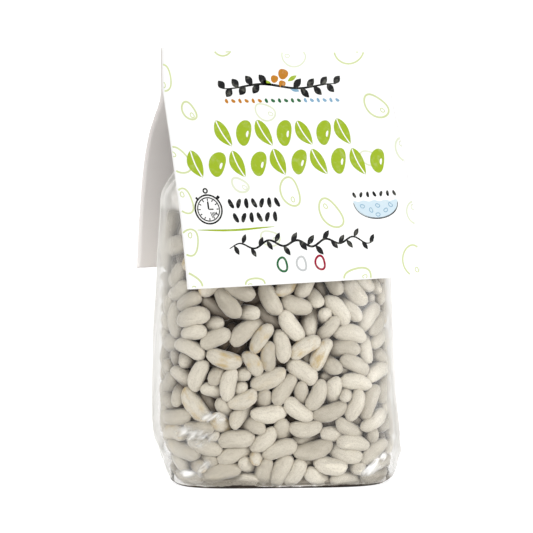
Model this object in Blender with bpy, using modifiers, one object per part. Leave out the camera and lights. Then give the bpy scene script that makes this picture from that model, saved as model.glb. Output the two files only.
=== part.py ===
"""Clear film bag of dried white beans, standing on its flat base, with a folded header card over its top.

Metres, +Z up. The origin is on the ground, under the middle of the pack's bounding box. The card's
front faces -Y. The bag is soft: its top lies square with the card, and its base is turned about Z.
"""

import math
import random

import bmesh
import bpy
from mathutils import Matrix, Vector

# Header card, a sheet folded over the bag's top
CARD_WIDTH = 0.100
CARD_TOP = 0.1770
CARD_THICKNESS = 0.0005
CARD_FOLD_RADIUS = 0.00085
# Each panel's mid line: (distance below the fold, distance out from the fold's plane)
FRONT_PANEL = (
    (0.0160, 0.00095), (0.0280, 0.0064), (0.0370, 0.0107), (0.0460, 0.0146),
    (0.0575, 0.0196), (0.0680, 0.0236), (0.0800, 0.0270), (0.0920, 0.0298),
)
BACK_PANEL = (
    (0.0160, 0.00095), (0.0200, 0.0022), (0.0278, 0.0099), (0.0340, 0.0158),
    (0.0433, 0.0214), (0.0534, 0.0256), (0.0660, 0.0292), (0.0812, 0.0328), (0.0916, 0.0350),
)
PANEL_STEPS = 15
FOLD_STEPS = 6

# Bag: (height, half width, half depth, squareness, shift to the right, shift to the back)
BAG_STATIONS = (
    (0.0000, 0.0440, 0.0232, 4.5, 0.0004, 0.0000),
    (0.0024, 0.0470, 0.0256, 4.2, 0.0006, 0.0000),
    (0.0080, 0.0492, 0.0274, 3.9, 0.0006, 0.0000),
    (0.0220, 0.0504, 0.0284, 3.6, -0.0008, 0.0000),
    (0.0360, 0.0498, 0.0286, 3.3, -0.0016, 0.0000),
    (0.0600, 0.0490, 0.0286, 3.1, -0.0016, 0.0006),
    (0.0860, 0.0488, 0.0264, 3.0, -0.0012, 0.0016),
    (0.1050, 0.0488, 0.0216, 2.9, -0.0010, 0.0020),
    (0.1190, 0.0484, 0.0156, 2.8, -0.0008, 0.0016),
    (0.1310, 0.0446, 0.0090, 2.6, -0.0004, 0.0008),
    (0.1445, 0.0441, 0.0030, 3.0, 0.0000, 0.0002),
    (0.1555, 0.0438, 0.0003, 5.0, 0.0000, 0.0000),
    (0.1755, 0.0438, 0.0002, 6.0, 0.0000, 0.0000),
)
BAG_RINGS = (
    0.0, 0.0024, 0.0055, 0.010, 0.017, 0.027, 0.039, 0.051, 0.063, 0.075, 0.086, 0.096, 0.105,
    0.113, 0.120, 0.127, 0.134, 0.140, 0.146, 0.151, 0.1555, 0.1755,
)
POINTS_AROUND = 32
FINE_STEPS = 240
HEIGHT_STEP, ANGLE_STEP = 0.001, 0.02
BASE_TURN = math.radians(-20.0)
TURN_START, TURN_END = 0.010, 0.110

# Side gussets, folded inwards where the film closes above the beans
GUSSET_LOW, GUSSET_HIGH = 0.116, 0.154
GUSSET_DEPTH = 0.0062
GUSSET_SPREAD = 2.0

# Beans pressed against the film, each a six-sided barrel with pointed ends
BEAN_LENGTH, BEAN_WIDTH, BEAN_THICKNESS = 0.0148, 0.0072, 0.0060
BEAN_SIDES = 6
BEAN_FLAT = math.sin(math.radians(60.0))
BEAN_SHOULDER = 0.64
BEAN_BEND = 0.0006
BEAN_ROW_PITCH, BEAN_PITCH = 0.0102, 0.0136
BEANS_LOW, BEANS_HIGH = 0.0064, 0.1150
BEAN_SIZES = (0.88, 1.12)
HEIGHT_SWING = 0.0014
TURN_SWING = 0.04
EDGE_SPIN, SPIN = math.radians(23.0), math.radians(90.0)
FILM_SINK = 0.0024
SINK_LOW, SINK_HIGH = 0.0050, 0.0140
FLOOR_CLEARANCE = 0.0006
CARD_ZONE, CARD_ZONE_SINK = 0.078, 0.0008
SEED = 7

FILM_COLOUR = (0.80, 0.77, 0.71, 1.0)
CARD_COLOUR = (0.93, 0.93, 0.92, 1.0)


def clear_scene():
    """Remove every object of the startup scene."""
    for obj in list(bpy.data.objects):
        bpy.data.objects.remove(obj, do_unlink=True)


def make_material(name, colour, roughness):
    """Return a Principled material of one colour."""
    material = bpy.data.materials.new(name)
    material.use_nodes = True
    shader = material.node_tree.nodes["Principled BSDF"]
    shader.inputs["Base Color"].default_value = colour
    shader.inputs["Roughness"].default_value = roughness
    shader.inputs["Metallic"].default_value = 0.0
    return material


def ease(value, low, high):
    """Return 0 below low, 1 above high and a smooth step between them."""
    share = min(1.0, max(0.0, (value - low) / (high - low)))
    return share * share * (3.0 - 2.0 * share)


def slopes(stations, column):
    """Return the slope at each station that keeps a cubic through the column free of overshoot."""
    steps = [
        (b[column] - a[column]) / (b[0] - a[0]) for a, b in zip(stations, stations[1:])
    ]
    inner = [
        2.0 * p * q / (p + q) if p * q > 0.0 else 0.0 for p, q in zip(steps, steps[1:])
    ]
    return [steps[0]] + inner + [steps[-1]]


def between(stations, column, place):
    """Return the column's value at place, on a smooth cubic through the stations."""
    place = min(max(place, stations[0][0]), stations[-1][0])
    slope = slopes(stations, column)
    for i, (low, high) in enumerate(zip(stations, stations[1:])):
        if place <= high[0]:
            break
    span = high[0] - low[0]
    t = (place - low[0]) / span
    return (
        (1 + 2 * t) * (1 - t) ** 2 * low[column]
        + t * (1 - t) ** 2 * span * slope[i]
        + t * t * (3 - 2 * t) * high[column]
        + t * t * (t - 1) * span * slope[i + 1]
    )


def bag_point(height, angle, inset=0.0):
    """Return the point of the film at a height and an angle round it, moved in by inset."""
    power = between(BAG_STATIONS, 3, height)
    reach = (abs(math.cos(angle)) ** power + abs(math.sin(angle)) ** power) ** (-1.0 / power)
    x = (between(BAG_STATIONS, 1, height) - inset) * reach * math.cos(angle)
    y = (between(BAG_STATIONS, 2, height) - inset) * reach * math.sin(angle)
    middle = 0.5 * (GUSSET_LOW + GUSSET_HIGH)
    fold = ease(height, GUSSET_LOW, middle) * (1.0 - ease(height, middle, GUSSET_HIGH))
    x -= math.copysign(GUSSET_DEPTH * fold * max(0.0, 1.0 - GUSSET_SPREAD * abs(math.sin(angle))), x)
    x += between(BAG_STATIONS, 4, height)
    y += between(BAG_STATIONS, 5, height)
    turn = BASE_TURN * (1.0 - ease(height, TURN_START, TURN_END))
    return Matrix.Rotation(turn, 3, "Z") @ Vector((x, y, height))


def even_angles(height, count):
    """Return count angles that are evenly spaced along the film at a height, and its length."""
    angles = [2.0 * math.pi * i / FINE_STEPS for i in range(FINE_STEPS + 1)]
    points = [bag_point(height, a) for a in angles]
    lengths = [0.0]
    for a, b in zip(points, points[1:]):
        lengths.append(lengths[-1] + (b - a).length)
    found, i = [], 0
    for k in range(count):
        goal = lengths[-1] * k / count
        while lengths[i + 1] < goal:
            i += 1
        share = (goal - lengths[i]) / (lengths[i + 1] - lengths[i])
        found.append(angles[i] + share * (angles[i + 1] - angles[i]))
    return found, lengths[-1]


def core_inset(height):
    """Return how far the packed core lies inside the film: nothing at the base and above the beans."""
    top = BEANS_HIGH + SINK_LOW
    return FILM_SINK * ease(height, 0.0, SINK_LOW) * (1.0 - ease(height, top - SINK_HIGH, top))


def loft(name, rings):
    """Return a closed mesh object through rings of points, with a flat cap at each end."""
    bm = bmesh.new()
    rows = [[bm.verts.new(p) for p in ring] for ring in rings]
    for low, high in zip(rows, rows[1:]):
        for i in range(len(low)):
            j = (i + 1) % len(low)
            bm.faces.new((low[i], low[j], high[j], high[i]))
    bm.faces.new(list(reversed(rows[0])))
    bm.faces.new(rows[-1])
    bmesh.ops.recalc_face_normals(bm, faces=bm.faces)
    mesh = bpy.data.meshes.new(name)
    bm.to_mesh(mesh)
    bm.free()
    return bpy.data.objects.new(name, mesh)


def bag_core():
    """Return the bag's closed body, with the film drawn in between the beans."""
    rings = [
        [bag_point(z, t, core_inset(z)) for t in even_angles(z, POINTS_AROUND)[0]] for z in BAG_RINGS
    ]
    return loft("bag", rings)


def bean_mesh():
    """Return one kidney-shaped bean, long in X, with its broad side facing Z."""
    bm = bmesh.new()
    tips = [bm.verts.new((end * BEAN_LENGTH / 2, 0.0, 0.0)) for end in (-1.0, 1.0)]
    rings = []
    for end in (-1.0, 1.0):
        ring = []
        for i in range(BEAN_SIDES):
            turn = 2.0 * math.pi * i / BEAN_SIDES
            across = math.cos(turn) * BEAN_WIDTH / 2 - BEAN_BEND
            up = math.sin(turn) / BEAN_FLAT * BEAN_THICKNESS / 2
            ring.append(bm.verts.new((end * BEAN_SHOULDER * BEAN_LENGTH / 2, across, up)))
        rings.append(ring)
    for i in range(BEAN_SIDES):
        j = (i + 1) % BEAN_SIDES
        bm.faces.new((rings[0][i], rings[0][j], rings[1][j], rings[1][i]))
        bm.faces.new((tips[0], rings[0][j], rings[0][i]))
        bm.faces.new((tips[1], rings[1][i], rings[1][j]))
    bmesh.ops.recalc_face_normals(bm, faces=bm.faces)
    mesh = bpy.data.meshes.new("bean")
    bm.to_mesh(mesh)
    bm.free()
    return mesh


def film_frame(height, angle):
    """Return the film's point, outward normal and level tangent at a height and angle."""
    point = bag_point(height, angle)
    level = (bag_point(height, angle + ANGLE_STEP) - bag_point(height, angle - ANGLE_STEP)).normalized()
    rise = bag_point(height + HEIGHT_STEP, angle) - bag_point(height - HEIGHT_STEP, angle)
    normal = level.cross(rise).normalized()
    return point, normal, level


def place_bean(mesh, height, angle, spin, size):
    """Return a bean object that lies against the inside of the film."""
    point, normal, level = film_frame(height, angle)
    spun = Matrix.Rotation(spin, 3, normal) @ level
    sink = CARD_ZONE_SINK if height > CARD_ZONE else 0.0
    centre = point - normal * (size * BEAN_THICKNESS / 2 + sink)
    axes = Matrix((spun, normal.cross(spun), normal)).transposed() * size
    bean = bpy.data.objects.new("bean", mesh)
    bean.matrix_world = Matrix.Translation(centre) @ axes.to_4x4()
    lowest = min((bean.matrix_world @ v.co).z for v in mesh.vertices)
    if lowest < FLOOR_CLEARANCE:
        bean.location.z += FLOOR_CLEARANCE - lowest
    return bean


def scatter_beans(collection):
    """Fill the collection with staggered rows of beans round the bag, each turned its own way."""
    draw = random.Random(SEED)
    mesh = bean_mesh()
    rows = round((BEANS_HIGH - BEANS_LOW) / BEAN_ROW_PITCH)
    for row in range(rows + 1):
        level = BEANS_LOW + (BEANS_HIGH - BEANS_LOW) * row / rows
        count = round(even_angles(level, 1)[1] / BEAN_PITCH)
        at_edge = row in (0, rows)
        for k, angle in enumerate(even_angles(level, 2 * count)[0]):
            if k % 2 != row % 2:
                continue
            height = level + (0.0 if at_edge else draw.uniform(-HEIGHT_SWING, HEIGHT_SWING))
            limit = EDGE_SPIN if at_edge else SPIN
            spin = draw.uniform(-limit, limit)
            size = draw.uniform(*BEAN_SIZES)
            angle += draw.uniform(-TURN_SWING, TURN_SWING)
            collection.objects.link(place_bean(mesh, height, angle, spin, size))


def keep_largest(mesh):
    """Drop sealed hollows and loose scraps: keep only the connected body with the most faces."""
    bm = bmesh.new()
    bm.from_mesh(mesh)
    bodies, seen = [], set()
    for start in bm.faces:
        if start in seen:
            continue
        body, queue = [], [start]
        seen.add(start)
        while queue:
            face = queue.pop()
            body.append(face)
            for edge in face.edges:
                if len(edge.link_faces) == 2:
                    fresh = [other for other in edge.link_faces if other not in seen]
                    seen.update(fresh)
                    queue.extend(fresh)
        bodies.append(body)
    bodies.sort(key=len)
    scraps = [face for body in bodies[:-1] for face in body]
    bmesh.ops.delete(bm, geom=scraps, context="FACES")
    bm.to_mesh(mesh)
    bm.free()


def fuse(core, collection):
    """Join the collection's objects to the core with one Boolean union, then remove them."""
    union = core.modifiers.new("beans", "BOOLEAN")
    union.operation = "UNION"
    union.operand_type = "COLLECTION"
    union.collection = collection
    union.solver = "EXACT"
    bpy.context.view_layer.update()
    graph = bpy.context.evaluated_depsgraph_get()
    joined = bpy.data.meshes.new_from_object(core.evaluated_get(graph))
    core.modifiers.clear()
    core.data = joined
    for obj in list(collection.objects):
        bpy.data.objects.remove(obj, do_unlink=True)
    bpy.data.collections.remove(collection)
    keep_largest(joined)


def make_bag(collection, material):
    """Make the bag: its body with the beans that press against the film."""
    bag = bag_core()
    collection.objects.link(bag)
    beans = bpy.data.collections.new("beans")
    bpy.context.scene.collection.children.link(beans)
    scatter_beans(beans)
    fuse(bag, beans)
    bag.data.materials.clear()
    bag.data.materials.append(material)


def panel_line(panel, side):
    """Return one panel's mid line from the closed top down, as (y, z) pairs."""
    first, last = panel[0][0], panel[-1][0]
    drops = [first + (last - first) * i / PANEL_STEPS for i in range(PANEL_STEPS + 1)]
    return [(side * between(panel, 1, d), CARD_TOP - d) for d in drops]


def fold_line():
    """Return the fold's half circle from front to back, as (y, z) pairs."""
    centre = CARD_TOP - CARD_THICKNESS / 2 - CARD_FOLD_RADIUS
    turns = [math.pi * i / FOLD_STEPS for i in range(FOLD_STEPS + 1)]
    return [(-CARD_FOLD_RADIUS * math.cos(t), centre + CARD_FOLD_RADIUS * math.sin(t)) for t in turns]


def make_card(collection, material):
    """Make the header card: one folded sheet, as an open surface with a thickness."""
    line = list(reversed(panel_line(FRONT_PANEL, -1.0))) + fold_line() + panel_line(BACK_PANEL, 1.0)
    bm = bmesh.new()
    ends = [
        [bm.verts.new((side * CARD_WIDTH / 2, y, z)) for y, z in line] for side in (-1.0, 1.0)
    ]
    for i in range(len(line) - 1):
        bm.faces.new((ends[0][i], ends[1][i], ends[1][i + 1], ends[0][i + 1]))
    mesh = bpy.data.meshes.new("header_card")
    bm.to_mesh(mesh)
    bm.free()
    card = bpy.data.objects.new("header_card", mesh)
    collection.objects.link(card)
    thickness = card.modifiers.new("thickness", "SOLIDIFY")
    thickness.thickness = CARD_THICKNESS
    thickness.offset = 0.0
    thickness.use_even_offset = True
    card.data.materials.append(material)


def main():
    """Build the bag of beans and its header card."""
    clear_scene()
    collection = bpy.data.collections.new("bag_of_dried_beans")
    bpy.context.scene.collection.children.link(collection)
    make_bag(collection, make_material("film", FILM_COLOUR, 0.35))
    make_card(collection, make_material("card", CARD_COLOUR, 0.60))


main()
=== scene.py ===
"""Looks for a clear film bag of dried white beans with a folded header card.

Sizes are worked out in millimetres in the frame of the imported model, and become metres where a mesh
is made. The beans are packed against the film by a seeded relaxation, the film is drawn over them,
and the card's print is drawn flat and then laid on the card's own curve.
"""

from __future__ import annotations

import logging
import math
from collections.abc import Callable, Iterable, Mapping, Sequence
from dataclasses import dataclass, field
from enum import Enum
from typing import Any

import bmesh
import bpy
import numpy as np
from mathutils import Matrix, Vector
from mathutils.bvhtree import BVHTree

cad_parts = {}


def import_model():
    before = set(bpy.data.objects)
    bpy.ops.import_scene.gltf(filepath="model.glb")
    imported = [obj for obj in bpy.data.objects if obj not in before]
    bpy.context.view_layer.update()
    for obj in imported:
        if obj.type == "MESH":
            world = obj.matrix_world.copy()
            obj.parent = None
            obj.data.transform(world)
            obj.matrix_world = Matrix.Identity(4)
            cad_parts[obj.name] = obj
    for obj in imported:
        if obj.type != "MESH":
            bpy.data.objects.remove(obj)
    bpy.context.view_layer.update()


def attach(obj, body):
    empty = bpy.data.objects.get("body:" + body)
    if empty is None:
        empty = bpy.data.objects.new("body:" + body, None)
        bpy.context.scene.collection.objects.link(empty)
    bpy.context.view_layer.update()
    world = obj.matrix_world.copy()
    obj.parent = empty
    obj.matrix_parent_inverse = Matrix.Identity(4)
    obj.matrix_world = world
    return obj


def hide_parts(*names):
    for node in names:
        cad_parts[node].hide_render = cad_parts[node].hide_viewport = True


LOG = logging.getLogger("bag_of_beans")
MM = 0.001
BODY = "root"
Array = np.ndarray
Colour = tuple[float, float, float]
Pair = tuple[float, float]
Socket = bpy.types.NodeSocket
Piece = bpy.types.Object
CIRCLE = 2.0 * math.pi
# How an attribute is stored, by the count of numbers at each point
LAYERS = {1: ("FLOAT", "value"), 3: ("FLOAT_VECTOR", "vector"), 4: ("FLOAT_COLOR", "color")}


class Ink(Enum):
    """The print's colours, linear."""

    LEAF = (0.256, 0.356, 0.016)
    PALE = (0.480, 0.532, 0.288)
    FAINT = (0.565, 0.597, 0.462)
    CHARCOAL = (0.006, 0.006, 0.007)
    ORANGE = (0.395, 0.155, 0.012)
    SKY = (0.475, 0.573, 0.633)
    LAKE = (0.175, 0.315, 0.435)
    PINE = (0.018, 0.105, 0.039)
    SILVER = (0.420, 0.430, 0.435)
    CHERRY = (0.260, 0.007, 0.030)


def ease(value: Array | float, low: float, high: float) -> Array | float:
    """Return a smooth step from 0 at low to 1 at high."""
    share = np.clip((value - low) / (high - low), 0.0, 1.0)
    return share * share * (3.0 - 2.0 * share)


def through(table: Array, column: int, place: Array) -> Array:
    """Return a smooth cubic through one column of a table, free of overshoot.

    Args:
        table: Rows of stations, with the place in the first column.
        column: The column to follow.
        place: Where the values are wanted.

    Returns:
        The column's values there.
    """
    x, y = table[:, 0], table[:, column]
    step = np.diff(y) / np.diff(x)
    before, after = step[:-1], step[1:]
    total = np.where(before + after == 0.0, 1.0, before + after)
    inner = np.where(before * after > 0.0, 2.0 * before * after / total, 0.0)
    slope = np.concatenate([[step[0]], inner, [step[-1]]])
    place = np.clip(place, x[0], x[-1])
    i = np.clip(np.searchsorted(x, place, side="left") - 1, 0, len(x) - 2)
    span = x[i + 1] - x[i]
    t = (place - x[i]) / span
    return (
        (1 + 2 * t) * (1 - t) ** 2 * y[i]
        + t * (1 - t) ** 2 * span * slope[i]
        + t * t * (3 - 2 * t) * y[i + 1]
        + t * t * (t - 1) * span * slope[i + 1]
    )


def unit(vectors: Array) -> Array:
    """Return the vectors at length one."""
    return vectors / (np.linalg.norm(vectors, axis=-1, keepdims=True) + 1e-12)


def spun(x: Array | float, y: Array | float, turn: Array | float) -> tuple[Array, Array]:
    """Return flat coordinates turned leftwards by an angle in radians."""
    c, s = np.cos(turn), np.sin(turn)
    return c * x - s * y, s * x + c * y


@dataclass
class Tree:
    """Adds nodes to a shader or geometry tree.

    Args:
        nodes: The tree that the nodes go into.
    """

    nodes: bpy.types.NodeTree

    def node(
        self,
        kind: str,
        settings: Mapping[str, Any] | None = None,
        sockets: Mapping[str | int, Any] | None = None,
    ) -> bpy.types.Node:
        """Add one node.

        Args:
            kind: The node's type.
            settings: Its properties, such as a Math node's operation, set first.
            sockets: Values or links for its inputs, by name or number.

        Returns:
            The node.
        """
        made = self.nodes.nodes.new(kind)
        for name, value in (settings or {}).items():
            setattr(made, name, value)
        for key, value in (sockets or {}).items():
            self.feed(made.inputs[key], value)
        return made

    def feed(self, socket: Socket, value: Any) -> None:
        """Give a socket a value or a link, and a plain colour its alpha of one.

        Args:
            socket: The input.
            value: A number, a colour, a value of this tree or another node's output.
        """
        if isinstance(value, Val):
            value = value.socket
        if isinstance(value, Socket):
            self.nodes.links.new(value, socket)
        elif socket.type == "RGBA":
            socket.default_value = (*value, 1.0)
        else:
            socket.default_value = value

    def value(self, node: bpy.types.Node, output: str | int = 0) -> Val:
        """Return a node's output as a value for arithmetic."""
        return Val(self, node.outputs[output])

    def parts(self, vector: Any) -> tuple[Val, Val, Val]:
        """Return a vector's three parts."""
        split = self.node("ShaderNodeSeparateXYZ", None, {0: vector})
        return self.value(split, 0), self.value(split, 1), self.value(split, 2)

    def vector(self, x: Any, y: Any, z: Any) -> Socket:
        """Return a vector made of three values."""
        return self.node("ShaderNodeCombineXYZ", None, {0: x, 1: y, 2: z}).outputs[0]


class Val:
    """One socket of a tree, with arithmetic that adds Math nodes."""

    def __init__(self, tree: Tree, socket: Socket) -> None:
        """Wrap a socket of a tree."""
        self.tree = tree
        self.socket = socket

    def math(self, operation: str, *others: Any, clamp: bool = False) -> Val:
        """Return this value through one Math node, with the others as its next inputs.

        Args:
            operation: The node's operation.
            others: The node's next inputs.
            clamp: Whether the result is kept between 0 and 1.

        Returns:
            The result.
        """
        sockets = dict(enumerate((self, *others)))
        settings = {"operation": operation, "use_clamp": clamp}
        return Val(self.tree, self.tree.node("ShaderNodeMath", settings, sockets).outputs[0])

    def __add__(self, other: Any) -> Val:
        """Return the sum."""
        return self.math("ADD", other)

    __radd__ = __add__

    def __mul__(self, other: Any) -> Val:
        """Return the product."""
        return self.math("MULTIPLY", other)

    __rmul__ = __mul__

    def __sub__(self, other: Any) -> Val:
        """Return this less the other."""
        return self.math("SUBTRACT", other)

    def __rsub__(self, other: float) -> Val:
        """Return a number less this."""
        return self.math("MULTIPLY_ADD", -1.0, other)

    def __pow__(self, other: float) -> Val:
        """Return this to a power."""
        return self.math("POWER", other)

    def rise(self, low: float, high: float) -> Val:
        """Return a smooth step from 0 at low to 1 at high.

        Args:
            low: The value that gives 0.
            high: The value that gives 1.

        Returns:
            The step.
        """
        sockets = {"Value": self, "From Min": low, "From Max": high}
        made = self.tree.node("ShaderNodeMapRange", {"interpolation_type": "SMOOTHSTEP"}, sockets)
        return Val(self.tree, made.outputs[0])

    def clamped(self) -> Val:
        """Return this kept between 0 and 1."""
        return self.math("ADD", 0.0, clamp=True)


@dataclass
class ShaderTree(Tree):
    """Adds the nodes that the finishes share to a material's tree."""

    def place(self) -> Socket:
        """Return the object's own coordinates."""
        return self.node("ShaderNodeTexCoord").outputs["Object"]

    def attribute(self, name: str, output: str) -> Socket:
        """Return a mesh attribute's output."""
        return self.node("ShaderNodeAttribute", {"attribute_name": name}).outputs[output]

    def level(self, name: str) -> Val:
        """Return a mesh attribute that is one number."""
        return Val(self, self.attribute(name, "Fac"))

    def noise(self, where: Any, scale: float, detail: float = 3.0) -> Val:
        """Return noise at a place, at so many cells a metre or unit."""
        sockets = {"Vector": where, "Scale": scale, "Detail": detail}
        return self.value(self.node("ShaderNodeTexNoise", None, sockets), "Fac")

    def bump(self, height: Any, distance: float, strength: float = 1.0) -> Socket:
        """Return a bumped normal for a height from 0 to 1 over a distance in metres."""
        sockets = {"Height": height, "Distance": distance, "Strength": strength}
        return self.node("ShaderNodeBump", None, sockets).outputs[0]

    def blend(self, share: Any, first: Any, second: Any) -> Socket:
        """Return two colours mixed by a share."""
        sockets = {"Factor": share, 6: first, 7: second}
        return self.node("ShaderNodeMix", {"data_type": "RGBA"}, sockets).outputs[2]

    def principled(self, base: Any, rough: Any, more: Mapping[str, Any]) -> Socket:
        """Return a Principled shader of a colour and a roughness, with more sockets by name."""
        sockets = {"Base Color": base, "Roughness": rough, **more}
        return self.node("ShaderNodeBsdfPrincipled", None, sockets).outputs[0]

    def veiled(self, share: Val, shader: Socket) -> Socket:
        """Return a shader that covers only a share of what lies behind it.

        Args:
            share: The share that is covered.
            shader: The shader that covers it.

        Returns:
            The shader's socket.
        """
        clear = self.node("ShaderNodeBsdfTransparent").outputs[0]
        sockets = {0: share.clamped(), 1: clear, 2: shader}
        return self.node("ShaderNodeMixShader", None, sockets).outputs[0]


@dataclass(frozen=True)
class Finish:
    """A procedural surface finish; each kind adds its own nodes."""

    name: str

    def make(self) -> bpy.types.Material:
        """Return the finish as a Blender material.

        Returns:
            The material.
        """
        material = bpy.data.materials.new(self.name)
        material.use_nodes = True
        material.node_tree.nodes.clear()
        tree = ShaderTree(material.node_tree)
        tree.node("ShaderNodeOutputMaterial", None, {"Surface": self.surface(tree)})
        return material

    def surface(self, tree: ShaderTree) -> Socket:
        """Return the surface's shader socket."""
        raise NotImplementedError


@dataclass(frozen=True)
class BeanFinish(Finish):
    """Matt, faintly veined skin of a dried white bean, with a few ochre stains, and painted shade
    where it lies deep behind other beans.
    """

    light: Colour = (0.700, 0.652, 0.549)
    grey: Colour = (0.446, 0.404, 0.325)
    vein: Colour = (0.360, 0.315, 0.250)
    stain: Colour = (0.490, 0.345, 0.125)
    # The colour of the painted shade between and behind the beans
    deep: Colour = (0.056, 0.031, 0.012)
    relief: float = 0.00042

    def surface(self, tree: ShaderTree) -> Socket:
        """Return the bean skin's shader.

        Args:
            tree: The material's tree.

        Returns:
            The shader's socket.
        """
        tone, mark, shade = (tree.level(name) for name in ("tone", "mark", "shade"))
        along, across, up = tree.parts(tree.attribute("grain", "Vector"))
        # The bean's own coordinates are moved by its two chances, so that no two beans are alike
        streak = tree.vector(along * 0.30 + tone * 31.0, across * 1.05, up * 1.05 + tone * 17.0)
        broad = tree.vector(along * 0.17 + mark * 53.0, across * 0.26 + tone * 23.0, up * 0.26)
        veins = tree.noise(streak, 1.0, 5.0)
        grain = tree.noise(tree.vector(along + tone * 11.0, across, up), 1.9)
        cloud = tree.noise(broad, 1.0, 2.5)
        patch = tree.noise(broad, 1.05)
        veined = veins.rise(0.44, 0.74) * 0.24 + grain.rise(0.46, 0.68) * 0.30
        stained = patch.rise(0.45, 0.74) * mark.rise(0.86, 0.94) * 0.82
        base = tree.blend(tone, self.grey, self.light)
        base = tree.blend(cloud.rise(0.40, 0.72) * 0.35, base, self.light)
        base = tree.blend(veined, base, self.vein)
        base = tree.blend(stained, base, self.stain)
        # Painted shade: points that lie deep inside the film are darkened towards the deep colour
        base = tree.blend(shade, base, self.deep)
        normal = tree.bump(veins * 0.45 + grain * 0.55, self.relief)
        sheen = {"Sheen Weight": 0.62, "Sheen Roughness": 0.36, "Specular IOR Level": 0.40}
        return tree.principled(base, veins * 0.20 + 0.34, {"Normal": normal, **sheen})


@dataclass(frozen=True)
class CoreFinish(Finish):
    """Painted shade of the beans far inside the bag: a dark sheet seen only through the gaps, lighter
    towards the base.
    """

    light: Colour = (0.145, 0.100, 0.058)
    dark: Colour = (0.058, 0.038, 0.020)
    low: Colour = (0.330, 0.290, 0.230)

    def surface(self, tree: ShaderTree) -> Socket:
        """Return the core's shader.

        Args:
            tree: The material's tree.

        Returns:
            The shader's socket.
        """
        where = tree.place()
        patches = tree.noise(where, 170.0)
        # The core's colours are painted shade, lighter towards the base
        base = tree.blend(patches.rise(0.4, 0.65), self.dark, self.light)
        base = tree.blend(tree.parts(where)[2].rise(0.007, 0.003), base, self.low)
        return tree.principled(base, 0.8, {"Normal": tree.bump(patches, 0.0010)})


@dataclass(frozen=True)
class FilmFinish(Finish):
    """Clear packing film.

    It is nearly unseen face on, and milky where it turns away, stands free or is crumpled. It carries
    painted light, painted glints and painted shade.
    """

    milky: Colour = (0.540, 0.525, 0.492)
    # The white of the film's painted light and painted glints
    white: Colour = (0.970, 0.970, 0.960)
    # The colour of the painted shade in the film's crumpled folds
    line: Colour = (0.110, 0.095, 0.075)
    clear: float = 0.010
    edge: float = 0.90
    haze: float = 0.50
    glint: float = 0.68
    fold_shade: float = 0.16

    def surface(self, tree: ShaderTree) -> Socket:
        """Return the film's shader.

        Args:
            tree: The material's tree.

        Returns:
            The shader's socket.
        """
        bare, crease_and_glint = tree.level("bare"), tree.level("crease_and_glint")
        facing = tree.value(tree.node("ShaderNodeLayerWeight", None, {"Blend": 0.5}), "Facing")
        x, y, z = tree.parts(tree.place())
        wrinkles = tree.noise(tree.vector(x, y, z * 0.30), 95.0, 4.0)
        folds = tree.noise(tree.vector(x - z * 0.9, y * 0.6, z * 0.5 + x * 0.3), 235.0, 2.5)
        # Painted shade: thin dark lines in the folds of the crumpled corners
        lines = folds.rise(0.44, 0.34) * crease_and_glint.rise(0.30, 0.80)
        # Painted light: the free film's haze is made whiter at the bag's right, at its neck and at
        # its lower left
        pale = x.rise(0.005, 0.040) * (z.rise(0.008, 0.040) * 0.30 + 0.15)
        pale = pale + z.rise(0.104, 0.124) * 0.06
        pale = pale + z.rise(0.036, 0.006) * x.rise(0.0, -0.030) * 0.35
        milky = tree.blend(pale, self.milky, self.white)
        milky = tree.blend(lines, milky, self.line)
        thick = bare + bare.rise(0.70, 1.0) * 0.9
        haze = thick * (wrinkles.rise(0.35, 0.70) * 0.45 + 0.60) * self.haze
        # Painted glints: the crumpled corners are whitened and made more opaque, standing in for
        # highlights
        painted_glint = (crease_and_glint * (folds.rise(0.30, 0.68) * 0.80 + 0.42)).rise(0.14, 1.10)
        # Painted highlight: a bright line where the film's upper part turns away at its edges
        rim = facing.rise(0.80, 0.97) * z.rise(0.080, 0.105) * 0.8
        painted_glint = painted_glint.math("MAXIMUM", rim)
        share = facing**2.4 * z.rise(0.0, 0.012) * self.edge + haze
        share = share + painted_glint * self.glint + lines * self.fold_shade + self.clear
        height = wrinkles * (bare * 0.8 + 0.2) + folds * (crease_and_glint * 1.2 + 0.1)
        base = tree.blend(painted_glint, milky, self.white)
        more = {"Metallic": 0.35, "Normal": tree.bump(height, 0.0008)}
        return tree.veiled(share, tree.principled(base, 0.35, more))


@dataclass(frozen=True)
class HemFinish(Finish):
    """The film's doubled fold round the base, its dark line partly the fold and partly painted shadow
    where the bag meets the floor.
    """

    dark: Colour = (0.014, 0.009, 0.006)
    pale: Colour = (0.070, 0.052, 0.036)
    veil: Colour = (0.330, 0.300, 0.250)

    def surface(self, tree: ShaderTree) -> Socket:
        """Return the hem's shader.

        Args:
            tree: The material's tree.

        Returns:
            The shader's socket.
        """
        patches = tree.noise(tree.place(), 110.0, 4.0)
        fade = tree.level("fade")
        # Partly painted shadow: the dark colour along the fold's foot, with paler patches
        base = tree.blend(patches.rise(0.45, 0.75), self.dark, self.pale)
        base = tree.blend(fade.rise(0.55, 0.90), self.veil, base)
        more = {"Normal": tree.bump(patches, 0.0004), "Specular IOR Level": 0.06}
        return tree.veiled(fade * (patches * 0.5 + 0.75), tree.principled(base, 0.55, more))


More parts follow.
